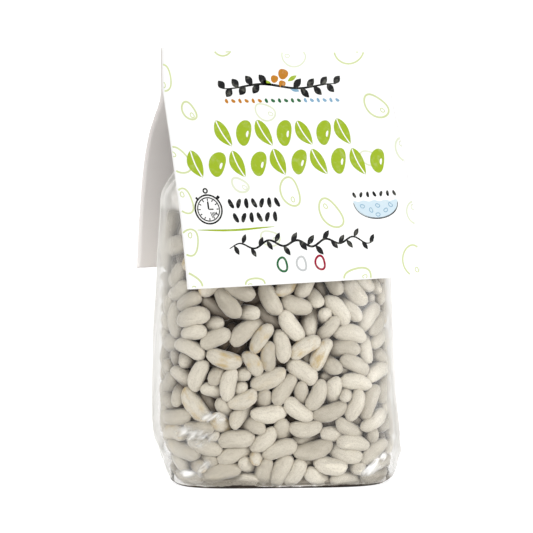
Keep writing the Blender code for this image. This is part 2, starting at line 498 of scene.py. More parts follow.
@dataclass(frozen=True)
class CardFinish(Finish):
    """Smooth white printed card, with an uncoated inside that painted shade makes greyer towards the
    fold.
    """

    outside: Colour = (0.765, 0.765, 0.758)
    inside: Colour = (0.860, 0.825, 0.805)
    shaded: Colour = (0.560, 0.530, 0.510)
    cloud: Colour = (0.70, 0.69, 0.67)

    def surface(self, tree: ShaderTree) -> Socket:
        """Return the card's shader.

        Args:
            tree: The material's tree.

        Returns:
            The shader's socket.
        """
        where = tree.place()
        inner = tree.level("inner")
        fibres = tree.noise(where, 1500.0, 4.0)
        clouds = tree.noise(where, 60.0, 2.0)
        base = tree.blend(inner, self.outside, self.inside)
        # Painted shade: the inside darkens towards the fold, where the panels shade it
        high = inner * tree.parts(where)[2].rise(0.080, 0.155) * 0.75
        base = tree.blend(high, base, self.shaded)
        base = tree.blend(clouds.rise(0.3, 0.8) * 0.05, base, self.cloud)
        gloss = inner * 0.30 + fibres * 0.08 + 0.42
        return tree.principled(base, gloss, {"Normal": tree.bump(fibres, 0.00003, 0.6)})


@dataclass(frozen=True)
class InkFinish(Finish):
    """Printed ink in the mesh's own colour, slightly uneven as a brush leaves it."""

    thin: Colour = (0.70, 0.70, 0.58)

    def surface(self, tree: ShaderTree) -> Socket:
        """Return the ink's shader.

        Args:
            tree: The material's tree.

        Returns:
            The shader's socket.
        """
        colour = tree.attribute("ink", "Color")
        bristles = tree.noise(tree.place(), 520.0, 4.0)
        base = tree.blend(bristles.rise(0.48, 0.75) * 0.12, colour, self.thin)
        return tree.principled(base, bristles * 0.1 + 0.5, {"Specular IOR Level": 0.12})


@dataclass(frozen=True)
class FloorFinish(Finish):
    """Plain pale studio floor."""

    colour: Colour = (0.450, 0.450, 0.450)
    light: Colour = (1.0, 1.0, 1.0)
    glow: float = 0.80

    def surface(self, tree: ShaderTree) -> Socket:
        """Return the floor's shader."""
        more = {"Emission Color": self.light, "Emission Strength": self.glow}
        return tree.principled(self.colour, 0.9, more)


def add_object(name: str, data: bpy.types.ID) -> Piece:
    """Add an object to the scene.

    Args:
        name: The object's name.
        data: Its mesh, camera or light.

    Returns:
        The object.
    """
    made = bpy.data.objects.new(name, data)
    bpy.context.scene.collection.objects.link(made)
    return made


def store(mesh: bpy.types.Mesh, name: str, values: Array) -> None:
    """Store a number, a vector or a colour at each point of a mesh.

    Args:
        mesh: The mesh.
        name: The attribute's name.
        values: Its values, one row for each point.
    """
    kind, member = LAYERS[values.size // len(mesh.vertices)]
    layer = mesh.attributes.new(name, kind, "POINT")
    layer.data.foreach_set(member, values.astype(np.float32).ravel())


def points_of(mesh: bpy.types.Mesh) -> Array:
    """Return a mesh's points as rows of three numbers.

    Args:
        mesh: The mesh.

    Returns:
        The points, in the mesh's own unit.
    """
    points = np.empty(len(mesh.vertices) * 3, np.float32)
    mesh.vertices.foreach_get("co", points)
    return points.reshape(-1, 3)


def make_piece(
    name: str,
    points: Array,
    faces: Sequence[Sequence[int]],
    material: bpy.types.Material,
    attributes: Mapping[str, Array] | None = None,
    smooth: bool = True,
) -> Piece:
    """Make one mesh object from points in millimetres.

    Args:
        name: The piece's name.
        points: Its vertices, in millimetres.
        faces: Its faces, by vertex number.
        material: Its finish.
        attributes: Values for each vertex by name, one number or a colour each.
        smooth: Whether the faces are shaded smooth.

    Returns:
        The object, linked to the scene.
    """
    mesh = bpy.data.meshes.new(name)
    mesh.from_pydata((points * MM).tolist(), [], [list(map(int, face)) for face in faces])
    for key, values in (attributes or {}).items():
        store(mesh, key, values)
    mesh.polygons.foreach_set("use_smooth", [smooth] * len(mesh.polygons))
    mesh.materials.append(material)
    mesh.update()
    return add_object(name, mesh)


def face_outwards(piece: Piece) -> None:
    """Turn the faces of each closed shell outwards.

    Args:
        piece: The object whose mesh is turned.
    """
    shape = bmesh.new()
    shape.from_mesh(piece.data)
    bmesh.ops.recalc_face_normals(shape, faces=shape.faces)
    shape.to_mesh(piece.data)
    shape.free()


@dataclass
class BagForm:
    """The film bag's outer form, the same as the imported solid's, in millimetres.

    Each station is (height, half width, half depth, squareness, shift right, shift back).
    """

    stations: Array = field(
        default_factory=lambda: np.array(
            (
                (0.0, 44.0, 23.2, 4.5, 0.4, 0.0),
                (2.4, 47.0, 25.6, 4.2, 0.6, 0.0),
                (8.0, 49.2, 27.4, 3.9, 0.6, 0.0),
                (22.0, 50.4, 28.4, 3.6, -0.8, 0.0),
                (36.0, 49.8, 28.6, 3.3, -1.6, 0.0),
                (60.0, 49.0, 28.6, 3.1, -1.6, 0.6),
                (86.0, 48.8, 26.4, 3.0, -1.2, 1.6),
                (105.0, 48.8, 21.6, 2.9, -1.0, 2.0),
                (119.0, 48.4, 15.6, 2.8, -0.8, 1.6),
                (131.0, 44.6, 9.0, 2.6, -0.4, 0.8),
                (144.5, 44.1, 3.0, 3.0, 0.0, 0.2),
                (155.5, 43.8, 0.3, 5.0, 0.0, 0.0),
                (175.5, 43.8, 0.2, 6.0, 0.0, 0.0),
            )
        )
    )
    base_turn: float = math.radians(-20.0)
    turn_ends: tuple[float, float] = (10.0, 110.0)
    gusset: tuple[float, float, float] = (116.0, 154.0, 6.2)
    side_gap: Callable[[Array], Array] = np.zeros_like
    face_gap: Callable[[Array], Array] = np.zeros_like
    thinnest: float = 0.15

    def __post_init__(self) -> None:
        """Tabulate the sections over height."""
        self.heights = np.arange(0.0, 176.0, 0.5)
        z = self.heights
        width, depth = through(self.stations, 1, z), through(self.stations, 2, z)
        self.width = np.maximum(width - self.side_gap(z), self.thinnest)
        self.depth = np.maximum(depth - self.face_gap(z), self.thinnest)
        self.square, self.right, self.back = (through(self.stations, i, z) for i in (3, 4, 5))
        self.turn = self.base_turn * (1.0 - ease(z, *self.turn_ends))

    def section(self, z: Array) -> tuple[Array, ...]:
        """Return half width, half depth, squareness, both shifts and the turn at each height."""
        tables = (self.width, self.depth, self.square, self.right, self.back, self.turn)
        return tuple(np.interp(z, self.heights, t) for t in tables)

    def surface(self, z: Array, angle: Array) -> Array:
        """Return the film's points at heights and angles of the same shape.

        Args:
            z: The heights.
            angle: The angles round the bag.

        Returns:
            The points.
        """
        width, depth, square, right, back, turn = self.section(z)
        cosine, sine = np.cos(angle), np.sin(angle)
        reach = (np.abs(cosine) ** square + np.abs(sine) ** square) ** (-1.0 / square)
        x, y = width * reach * cosine, depth * reach * sine
        low, high, inward = self.gusset
        middle = 0.5 * (low + high)
        fold = ease(z, low, middle) * (1.0 - ease(z, middle, high))
        x = x - np.sign(x) * inward * fold * np.maximum(0.0, 1.0 - 2.0 * np.abs(sine))
        x, y = spun(x + right, y + back, turn)
        return np.stack([x, y, z], -1)

    def even_angles(self, z: float, count: int) -> Array:
        """Return angles evenly spaced along the film at one height.

        Args:
            z: The height.
            count: The number of angles.

        Returns:
            The angles.
        """
        fine = np.linspace(0.0, CIRCLE, 721)
        points = self.surface(np.full_like(fine, z), fine)
        steps = np.linalg.norm(np.diff(points, axis=0), axis=1)
        length = np.concatenate([[0.0], np.cumsum(steps)])
        return np.interp(np.arange(count) / count * length[-1], length, fine)

    def level(self, p: Array) -> Array:
        """Return 0 on the bag's axis and 1 on its wall, for each point.

        Args:
            p: The points, three numbers each.

        Returns:
            The levels.
        """
        width, depth, square, right, back, turn = self.section(p[:, 2])
        x, y = spun(p[:, 0], p[:, 1], -turn)
        u, v = np.abs(x - right) / width + 1e-9, np.abs(y - back) / depth + 1e-9
        return (u**square + v**square) ** (1.0 / square)

    def inside(self, p: Array) -> tuple[Array, Array]:
        """Return how far inside the wall each point lies, and the way inwards from the wall.

        Args:
            p: The points, three numbers each.

        Returns:
            The distances, and the ways at length one.
        """
        here, step = self.level(p), 0.05
        rises = [self.level(p + d) - self.level(p - d) for d in np.eye(3) * step]
        slope = np.stack(rises, 1) / (2 * step)
        size = np.linalg.norm(slope, axis=1) + 1e-9
        return (1.0 - here) / size, -slope / size[:, None]


@dataclass
class BeanBed:
    """The loose beans against the film, packed without simulation by a seeded relaxation.

    Each bean is three spheres in a row for the packing, and a kidney-shaped mesh afterwards.
    """

    count: int = 730
    seed: int = 21
    tint: int = 33
    rounds: int = 260
    layer: float = 13.4
    top: float = 114.5
    length: float = 15.0
    width: float = 7.5
    thickness: float = 6.5
    bend: float = 0.34
    uneven: float = 1.7
    sides: int = 12
    rings: int = 9
    small: float = 0.86
    large: float = 1.09
    end_reach: float = 4.15
    end_ball: float = 2.90
    middle_ball: float = 3.32
    floor_gap: float = 0.12

    def room(self) -> BagForm:
        """Return the room that the beans fill: the film's form, less the bare film at its sides."""
        return BagForm(
            side_gap=lambda z: 1.9 + 1.6 * (1.0 - ease(z, 4.0, 26.0)) - 0.7 * ease(z, 60.0, 100.0),
            face_gap=lambda z: 0.5 + 0.5 * (1.0 - ease(z, 0.0, 10.0)),
        )

    def start(self, room: BagForm, draw: np.random.Generator) -> tuple[Array, Array]:
        """Return the beans' first places and turns, most of them lying along the film.

        Args:
            room: The room that the beans fill.
            draw: The source of chance.

        Returns:
            The centres, and the turns as matrices.
        """
        found = np.empty((0, 3))
        low, high = [-52.0, -38.0, 4.0], [52.0, 38.0, self.top - 2.0]
        while len(found) < self.count:
            tries = draw.uniform(low, high, (4000, 3))
            deep, _ = room.inside(tries)
            under = np.minimum(deep, self.top - tries[:, 2])
            found = np.concatenate([found, tries[(deep > 2.8) & (under < self.layer - 1.0)]])
        centre = found[: self.count]
        _, inward = room.inside(centre)
        flat = draw.choice([1.0, 0.75, 0.2], (self.count, 1), p=[0.52, 0.28, 0.20])
        long = draw.normal(size=(self.count, 3))
        long[:, 2] *= 0.35 + 0.65 * ease(centre[:, 2], 8.0, 50.0)
        long = unit(long - (long * inward).sum(1)[:, None] * inward * flat)
        thin = unit(inward - (inward * long).sum(1)[:, None] * long)
        return centre, np.stack([long, np.cross(thin, long), thin], 2)

    def settle(self) -> tuple[Array, Array, Array]:
        """Pack the beans.

        Returns:
            Their centres, their turns as matrices, and their scales along, across and through.
        """
        draw = np.random.default_rng(self.seed)
        room = self.room()
        centre, turn = self.start(room, draw)
        size = draw.uniform(self.small, self.large, self.count)
        slim = draw.uniform(0.90, 1.08, self.count)
        offsets = np.zeros((self.count, 3, 3))
        offsets[:, 0, 0] = -self.end_reach * size * slim
        offsets[:, 2, 0] = self.end_reach * size * slim
        offsets[:, :, 1] = np.outer(size, (-0.20, 0.30, -0.20))
        radii = np.outer(size, (self.end_ball, self.middle_ball, self.end_ball))
        owner = np.repeat(np.arange(self.count), 3)
        near: tuple[Array, Array] = (owner[:0], owner[:0])
        for step in range(self.rounds):
            grown = 0.72 + 0.28 * min(1.0, step / (0.55 * self.rounds))
            arms = np.einsum("nij,nkj->nki", turn, offsets * grown)
            balls = (centre[:, None, :] + arms).reshape(-1, 3)
            if step % 6 == 0:
                near = self.neighbours(balls, owner)
            push = self.pushes(balls, (radii * grown).ravel(), near, room)
            arm = balls.reshape(-1, 3, 3) - centre[:, None, :]
            push = push.reshape(-1, 3, 3)
            centre = centre + push.mean(1) * 1.1
            spin = np.cross(arm, push).sum(1) / ((arm**2).sum((1, 2)) + 6.0)[:, None]
            turn = self.turned(turn, spin + self.flatten(centre, turn, room))
        return centre, turn, np.stack([size * slim, size, size], 1)

    def neighbours(self, balls: Array, owner: Array) -> tuple[Array, Array]:
        """Return the pairs of spheres of different beans that may touch.

        Args:
            balls: The spheres' centres.
            owner: The bean of each sphere.

        Returns:
            The numbers of each pair's first spheres, and of its second ones.
        """
        square = (balls * balls).sum(1)
        apart = square[:, None] + square[None, :] - 2.0 * balls @ balls.T
        first, second = np.nonzero(np.triu(apart < 81.0, 1))
        other = owner[first] != owner[second]
        return first[other], second[other]

    def pushes(
        self, balls: Array, radii: Array, near: tuple[Array, Array], room: BagForm
    ) -> Array:
        """Return how each sphere is pushed by its neighbours, the film, the floor and its weight.

        Args:
            balls: The spheres' centres.
            radii: The spheres' radii.
            near: The pairs of spheres that may touch.
            room: The room that the beans fill.

        Returns:
            The way and distance of each push.
        """
        first, second = near
        between = balls[first] - balls[second]
        apart = np.linalg.norm(between, axis=1) + 1e-9
        overlap = np.clip(radii[first] + radii[second] - apart, 0.0, None)
        push = between * (0.5 * overlap / apart)[:, None]
        total = np.zeros_like(balls)
        count = len(balls)
        for k in range(3):
            total[:, k] = np.bincount(first, push[:, k], count)
            total[:, k] -= np.bincount(second, push[:, k], count)
        deep, inward = room.inside(balls)
        under = np.minimum(deep, self.top - balls[:, 2])
        outwards = 1.2 * np.clip(radii - deep, 0.0, 3.0)
        outwards -= 0.3 * np.clip(under - self.layer, 0.0, 3.0)
        total += inward * outwards[:, None]
        total[:, 2] += 1.2 * np.clip(radii + 0.75 - balls[:, 2], 0.0, 3.0)
        total[:, 2] -= np.clip(balls[:, 2] + radii - self.top, 0.0, 3.0) + 0.03
        return total

    def flatten(self, centre: Array, turn: Array, room: BagForm) -> Array:
        """Return the small turn about its length that lays a bean's broad side on the film.

        Args:
            centre: The beans' centres.
            turn: The beans' turns, as matrices.
            room: The room that the beans fill.

        Returns:
            The small turns.
        """
        deep, inward = room.inside(centre)
        thin, long = turn[:, :, 2], turn[:, :, 0]
        side = np.sign((thin * inward).sum(1))[:, None]
        twist = (np.cross(thin, inward * side) * long).sum(1)[:, None] * long
        return 0.08 * twist * (deep < 5.5)[:, None]

    def turned(self, turn: Array, spin: Array) -> Array:
        """Return the matrices turned by small spins.

        Args:
            turn: The beans' turns, as matrices.
            spin: The axis of each small turn, as long as its angle.

        Returns:
            The new turns.
        """
        angle = np.linalg.norm(spin, axis=1) + 1e-12
        axis = spin / angle[:, None]
        angle = np.minimum(angle, 0.3)[:, None, None]
        cross = np.zeros((len(spin), 3, 3))
        cross[:, 0, 1], cross[:, 0, 2], cross[:, 1, 2] = -axis[:, 2], axis[:, 1], -axis[:, 0]
        cross = cross - cross.transpose(0, 2, 1)
        return (np.eye(3) + np.sin(angle) * cross + (1.0 - np.cos(angle)) * (cross @ cross)) @ turn

    def one_bean(self, tree: Tree, given: bpy.types.Node) -> Socket:
        """Return one kidney-shaped bean about the origin, which keeps its own coordinates.

        Args:
            tree: The geometry tree.
            given: The tree's input node.

        Returns:
            The geometry's socket.
        """
        names = ("Length", "Width", "Thickness", "Bend")
        length, width, thick, bend = (tree.value(given, name) for name in names)
        sockets = {"Segments": self.sides, "Rings": self.rings, "Radius": 1.0}
        ball = tree.node("GeometryNodeMeshUVSphere", None, sockets).outputs[0]
        place = tree.node("GeometryNodeInputPosition").outputs[0]
        across, up, along = tree.parts(place)
        plump = along * along * 0.20 + 1.0
        hollow = (1.0 - along * along * 3.2).math("MAXIMUM", 0.0)
        hollow = hollow * across.math("LESS_THAN", 0.0)
        sway = bend * (0.6 - along * along * 2.2) + hollow * bend * 0.7
        wide = across * plump * width * 0.5 + sway
        shape = tree.vector(along * length * 0.5, wide, up * plump * thick * 0.5)
        sockets = {"Geometry": ball, "Position": shape}
        bean = tree.node("GeometryNodeSetPosition", None, sockets).outputs[0]
        return self.stored(tree, bean, "grain", ("FLOAT_VECTOR", "POINT"), place)

    def roughened(self, tree: Tree, shape: Socket, uneven: Socket) -> Socket:
        """Return the beans made gently uneven, each in its own way.

        Args:
            tree: The geometry tree.
            shape: The beans, as one mesh.
            uneven: How far a point may move.

        Returns:
            The geometry's socket.
        """
        place = tree.node("GeometryNodeInputPosition").outputs[0]
        sockets = {"Vector": place, "Scale": 0.17, "Detail": 1.0}
        noise = tree.node("ShaderNodeTexNoise", None, sockets).outputs["Color"]
        sockets = {0: noise, 1: (-0.5, -0.5, -0.5)}
        centred = tree.node("ShaderNodeVectorMath", {"operation": "ADD"}, sockets).outputs[0]
        sockets = {0: centred, "Scale": uneven}
        shift = tree.node("ShaderNodeVectorMath", {"operation": "SCALE"}, sockets).outputs[0]
        sockets = {"Geometry": shape, "Offset": shift}
        return tree.node("GeometryNodeSetPosition", None, sockets).outputs[0]

    def tree(self, material: bpy.types.Material) -> bpy.types.NodeTree:
        """Return the geometry tree that puts a bean on every point.

        Args:
            material: The beans' finish.

        Returns:
            The tree.
        """
        group = bpy.data.node_groups.new("dried_beans", "GeometryNodeTree")
        floats = dict.fromkeys(("Length", "Width", "Thickness", "Bend", "Uneven"), "Float")
        for name, kind in {"Points": "Geometry", **floats, "Seed": "Int"}.items():
            group.interface.new_socket(name, in_out="INPUT", socket_type=f"NodeSocket{kind}")
        group.interface.new_socket("Beans", in_out="OUTPUT", socket_type="NodeSocketGeometry")
        tree = Tree(group)
        given = tree.node("NodeGroupInput")
        settings = {"data_type": "FLOAT_VECTOR"}
        turn, size = (
            tree.node("GeometryNodeInputNamedAttribute", settings, {"Name": name}).outputs[0]
            for name in ("turn", "size")
        )
        sockets = {
            "Points": given.outputs["Points"],
            "Instance": self.one_bean(tree, given),
            "Rotation": tree.node("FunctionNodeEulerToRotation", None, {0: turn}).outputs[0],
            "Scale": size,
        }
        laid = tree.node("GeometryNodeInstanceOnPoints", None, sockets).outputs[0]
        for name, extra in (("tone", 0), ("mark", 1)):
            sockets = {"Min": 0.0, "Max": 1.0, "Seed": tree.value(given, "Seed") + extra}
            chance = tree.node("FunctionNodeRandomValue", {"data_type": "FLOAT"}, sockets)
            value = next(s for s in chance.outputs if s.enabled)
            laid = self.stored(tree, laid, name, ("FLOAT", "INSTANCE"), value)
        whole = tree.node("GeometryNodeRealizeInstances", None, {0: laid}).outputs[0]
        whole = self.roughened(tree, whole, given.outputs["Uneven"])
        whole = tree.node("GeometryNodeSetShadeSmooth", None, {0: whole}).outputs[0]
        sockets = {"Geometry": whole, "Material": material}
        whole = tree.node("GeometryNodeSetMaterial", None, sockets).outputs[0]
        tree.node("NodeGroupOutput", None, {0: whole})
        return group

    def stored(
        self, tree: Tree, shape: Socket, name: str, kind: tuple[str, str], value: Socket
    ) -> Socket:
        """Return a geometry with one named attribute added.

        Args:
            tree: The geometry tree.
            shape: The geometry.
            name: The attribute's name.
            kind: Its data type, and the domain that it is stored on.
            value: The value to store.

        Returns:
            The geometry's socket.
        """
        settings = {"data_type": kind[0], "domain": kind[1]}
        sockets = {"Geometry": shape, "Name": name}
        made = tree.node("GeometryNodeStoreNamedAttribute", settings, sockets)
        tree.feed(next(s for s in made.inputs if s.name == "Value" and s.enabled), value)
        return made.outputs[0]

    def build(self) -> Piece:
        """Make the piece of loose beans.

        Returns:
            The piece.
        """
        centre, turn, size = self.settle()
        material = BeanFinish("bean_skin").make()
        mesh = bpy.data.meshes.new("bean_places")
        mesh.from_pydata(centre.tolist(), [], [])
        store(mesh, "turn", np.array([Matrix(m.tolist()).to_euler("XYZ")[:] for m in turn]))
        store(mesh, "size", size)
        piece = add_object("beans", mesh)
        sizes = {
            "Length": self.length,
            "Width": self.width,
            "Thickness": self.thickness,
            "Bend": self.bend,
            "Uneven": self.uneven,
            "Seed": self.tint,
        }
        plain_mesh(piece, self.tree(material), sizes)
        self.darken(piece.data)
        piece.data.transform(Matrix.Scale(MM, 4))
        return piece

    def darken(self, mesh: bpy.types.Mesh) -> None:
        """Keep the beans over the floor, and store how far those in front shade each point, as
        painted shade for the beans' colour.

        Args:
            mesh: The beans' mesh, in millimetres.
        """
        points = points_of(mesh)
        height = points[:, 2]
        height[:] = np.maximum(height, self.floor_gap)
        mesh.vertices.foreach_set("co", points.ravel())
        deep, _ = BagForm().inside(points.astype(float))
        # Painted shade: darker the deeper a point lies inside the film, less so near the top, where
        # light comes in over the beans
        shade = 0.96 * ease(deep, 2.3, 6.0) * (1.0 - 0.75 * ease(height, 97.0, 108.0))
        store(mesh, "shade", shade)


def plain_mesh(piece: Piece, tree: bpy.types.NodeTree, sizes: Mapping[str, Any]) -> None:
    """Run a geometry tree on a piece and keep its result as a plain mesh.

    Args:
        piece: The object that the tree works on.
        tree: The geometry tree.
        sizes: Values for the tree's inputs, by name.
    """
    work = piece.modifiers.new("shape", "NODES")
    work.node_group = tree
    for item in tree.interface.items_tree:
        if item.in_out == "INPUT" and item.name in sizes:
            work[item.identifier] = sizes[item.name]
    bpy.context.view_layer.update()
    graph = bpy.context.evaluated_depsgraph_get()
    made = bpy.data.meshes.new_from_object(piece.evaluated_get(graph), depsgraph=graph)
    piece.modifiers.clear()
    made.name = piece.name
    piece.data = made


@dataclass
class BeanCore:
    """The heart of the bag behind the beans that show, as a sheet in painted shade."""

    inset: float = 8.8
    low_inset: float = 2.2
    low: float = 0.6
    high: float = 103.0
    around: int = 96
    levels: int = 60

    def gap(self, z: Array) -> Array:
        """Return how far the core keeps from the film at each height."""
        return self.inset - (self.inset - self.low_inset) * (1.0 - ease(z, 1.5, 8.0))

    def build(self) -> Piece:
        """Make the core.

        Returns:
            The piece.
        """
        form = BagForm(side_gap=self.gap, face_gap=self.gap)
        rows = []
        for z in np.linspace(self.low, self.high, self.levels):
            angles = form.even_angles(z, self.around)
            ring = form.surface(np.full(self.around, z), angles)
            bulge = np.sin(7 * angles + 0.31 * z) * np.sin(0.55 * z + 3 * angles)
            ring[:, :2] *= 1.0 + 0.02 * bulge[:, None]
            rows.append(ring)
        faces = tube_faces(self.levels, self.around)
        finish = CoreFinish("shaded_beans").make()
        return make_piece("bean_core", np.concatenate(rows), faces, finish)


def tube_faces(rows: int, around: int, looped: bool = False) -> list[list[int]]:
    """Return a closed tube's faces, facing outwards for rings that turn leftwards.

    Args:
        rows: The number of rings, upwards.
        around: The number of points in a ring.
        looped: Whether the last ring joins the first, in place of a cap at each end.

    Returns:
        The faces, by point number.
    """
    faces = []
    for i in range(rows if looped else rows - 1):
        low, high = i * around, (i + 1) % rows * around
        for j in range(around):
            k = (j + 1) % around
            faces.append([low + j, low + k, high + k, high + j])
    if not looped:
        faces.append(list(range(around))[::-1])
        faces.append(list(range((rows - 1) * around, rows * around)))
    return faces


# Places of the film's painted glints: x, y, z, half length, half width and lean in degrees
GLINTS = (
    (-35.7, -17.4, 30.5, 6.4, 3.0, 5.0),
    (-41.5, -12.9, 22.5, 9.0, 4.6, -8.0),
    (-38.5, -14.5, 9.4, 4.6, 2.7, 50.0),
    (-44.0, -9.2, 6.6, 3.8, 1.7, 10.0),
    (26.1, -36.2, 8.5, 6.2, 3.6, 25.0),
    (31.8, -35.6, 12.0, 2.4, 2.4, 0.0),
)


@dataclass
class FilmSkin:
    """The clear film, drawn over the beans and gathered to a flat fin in the card's fold."""

    around: int = 300
    clearance: float = 0.18
    stand: float = 4.0
    bean_top: float = 122.0
    top: float = 175.5
    pull: float = 0.020
    rounds: int = 60
    reach: float = 6.0
    waves: int = 9
    seed: int = 5
    glints: tuple[tuple[float, ...], ...] = GLINTS

    def heights(self) -> Array:
        """Return the heights of the film's rings."""
        low, beans = (0.0, 0.35, 0.9, 1.6, 2.4, 3.3), np.arange(4.2, 124.0, 0.95)
        return np.concatenate([low, beans, np.arange(124.0, 156.0, 1.3), (160.0, 168.0, self.top)])

    def build(self, beans: Piece) -> Piece:
        """Make the film over the beans.

        Args:
            beans: The piece of loose beans.

        Returns:
            The piece.
        """
        form = BagForm()
        heights = self.heights()
        angles = np.stack([form.even_angles(z, self.around) for z in heights])
        z = np.repeat(heights[:, None], self.around, 1)
        points = form.surface(z, angles)
        out = self.outward(points)
        sag = self.drape(points, out, heights, beans)
        points = points + out * (self.wrinkle(z, angles) + self.billow(z, angles) - sag)[..., None]
        layers = {"bare": self.bareness(z, points).ravel(), "crease_and_glint": self.creases(points).ravel()}
        flat = points.reshape(-1, 3)
        flat[:, 2] = np.clip(flat[:, 2], 0.0, self.top)
        faces = tube_faces(len(heights), self.around)
        return make_piece("film", flat, faces, FilmFinish("clear_film").make(), layers)

    def outward(self, points: Array) -> Array:
        """Return the outward way at each point of the grid."""
        level = np.roll(points, -1, 1) - np.roll(points, 1, 1)
        return unit(np.cross(level, np.gradient(points, axis=0)))

    def drape(self, points: Array, out: Array, heights: Array, beans: Piece) -> Array:
        """Return how far the film is drawn in at each point, so that it just lies on the beans.

        Args:
            points: The film's points, by ring and place in the ring.
            out: The outward way at each point.
            heights: The height of each ring.
            beans: The piece of loose beans.

        Returns:
            The distances inwards, below 0 where the beans press the film out.
        """
        corners = (points_of(beans.data) / MM).tolist()
        shape = BVHTree.FromPolygons(corners, [tuple(p.vertices) for p in beans.data.polygons])
        limit = np.full(points.shape[:2], self.reach)
        for i in np.flatnonzero(heights <= self.bean_top):
            for j in range(self.around):
                start = Vector(points[i, j] + out[i, j] * self.stand)
                hit = shape.ray_cast(start, Vector(-out[i, j]), self.stand + self.reach)
                if hit[3] is not None:
                    limit[i, j] = hit[3] - self.stand - self.clearance
        allowed = 0.60 * ease(heights, 2.0, 8.0) * (1.0 - ease(heights, 106.0, 120.0))
        pull = self.pull * (allowed > 0.01)[:, None]
        sag = np.minimum(limit, 0.0)
        for _ in range(self.rounds):
            above, under = np.concatenate([sag[1:], sag[-1:]]), np.concatenate([sag[:1], sag[:-1]])
            nearby = 0.25 * (np.roll(sag, 1, 1) + np.roll(sag, -1, 1))
            nearby += 0.25 * (under + above)
            sag = np.minimum(np.minimum(limit, allowed[:, None]), nearby + pull)
        sag[0] = sag[-1] = 0.0
        return sag

    def billow(self, z: Array, angle: Array) -> Array:
        """Return how far the film stands free of the beans at the bag's two sides.

        Args:
            z: The heights.
            angle: The angles round the bag.

        Returns:
            The distances outwards.
        """
        along = np.cos(angle)
        low = -1.2 * ease(z, 0.3, 2.0) * (1.0 - ease(z, 4.0, 9.0))
        left = low + 2.0 * ease(z, 4.0, 21.0) * (1.0 - ease(z, 45.0, 112.0))
        right = ease(along, 0.80, 1.0) * ease(z, 3.0, 12.0) * (1.0 - ease(z, 80.0, 116.0))
        return left * ease(-along, 0.80, 1.0) + 0.9 * right

    def wrinkle(self, z: Array, angle: Array) -> Array:
        """Return the film's own creases: light over the beans, deeper at the base and neck.

        Args:
            z: The heights.
            angle: The angles round the bag.

        Returns:
            The distances outwards.
        """
        draw = np.random.default_rng(self.seed)
        total = np.zeros_like(z)
        for _ in range(self.waves):
            turns = draw.integers(3, 17)
            phase, tilt = draw.uniform(0.0, 6.28), draw.uniform(-0.16, 0.16)
            total += np.sin(turns * angle + tilt * z + phase) * draw.uniform(0.04, 0.10)
        light = ease(z, 0.5, 6.0) * (1.0 - ease(z, 146.0, 154.0))
        neck = ease(z, 112.0, 128.0) * (1.0 - ease(z, 140.0, 152.0))
        base = ease(z, 0.5, 5.0) * (1.0 - ease(z, 10.0, 24.0))
        pleats = np.sin(22 * angle + 0.05 * z) * 0.35 + np.sin(9 * angle + 1.7) * 0.5
        crush = np.sin(14 * angle + 0.5 * z) * np.sin(5 * angle - 0.35 * z + 1.0)
        return total * 0.5 * light + neck * pleats * 0.35 + base * crush * 0.5

    def bareness(self, z: Array, points: Array) -> Array:
        """Return how milky the film is: at the neck, the sides and the base, where it is free, and at
        the lower corners, where painted light adds to it.

        Args:
            z: The heights.
            points: The film's points, by ring and place in the ring.

        Returns:
            The shares, from 0 to 1.
        """
        width, _, _, right, _, turn = BagForm().section(z)
        along = (spun(points[..., 0], points[..., 1], -turn)[0] - right) / width
        neck = ease(z, 105.0, 117.0)
        # The lower corners' haze is partly free film and partly painted light, which whitens them
        corners = 0.42 * ease(-along, 0.50, 0.85) + 0.34 * ease(along, 0.30, 0.75)
        base = 0.14 * (1.0 - ease(z, 2.0, 12.0)) + corners * (1.0 - ease(z, 14.0, 40.0))
        sides = 0.22 * ease(along, 0.10, 0.60) + 0.38 * ease(along, 0.74, 0.96)
        sides += 0.60 * ease(-along, 0.78, 0.96)
        return np.clip(np.maximum(np.maximum(neck, base), sides), 0.0, 1.0)

    def creases(self, points: Array) -> Array:
        """Return how strongly the film is crumpled near its corners, which also sets its painted
        glints.

        Args:
            points: The film's points, by ring and place in the ring.

        Returns:
            The strengths, from 0 to 1.
        """
        total = np.zeros(points.shape[:2])
        for x, y, z, length, width, lean in self.glints:
            away = points - np.array([x, y, z])
            level = np.hypot(away[..., 0], away[..., 1]) * np.sign(away[..., 0])
            along, across = spun(level, away[..., 2], -math.radians(lean))
            total = np.maximum(total, np.exp(-((along / length) ** 2) - (across / width) ** 2))
        return total


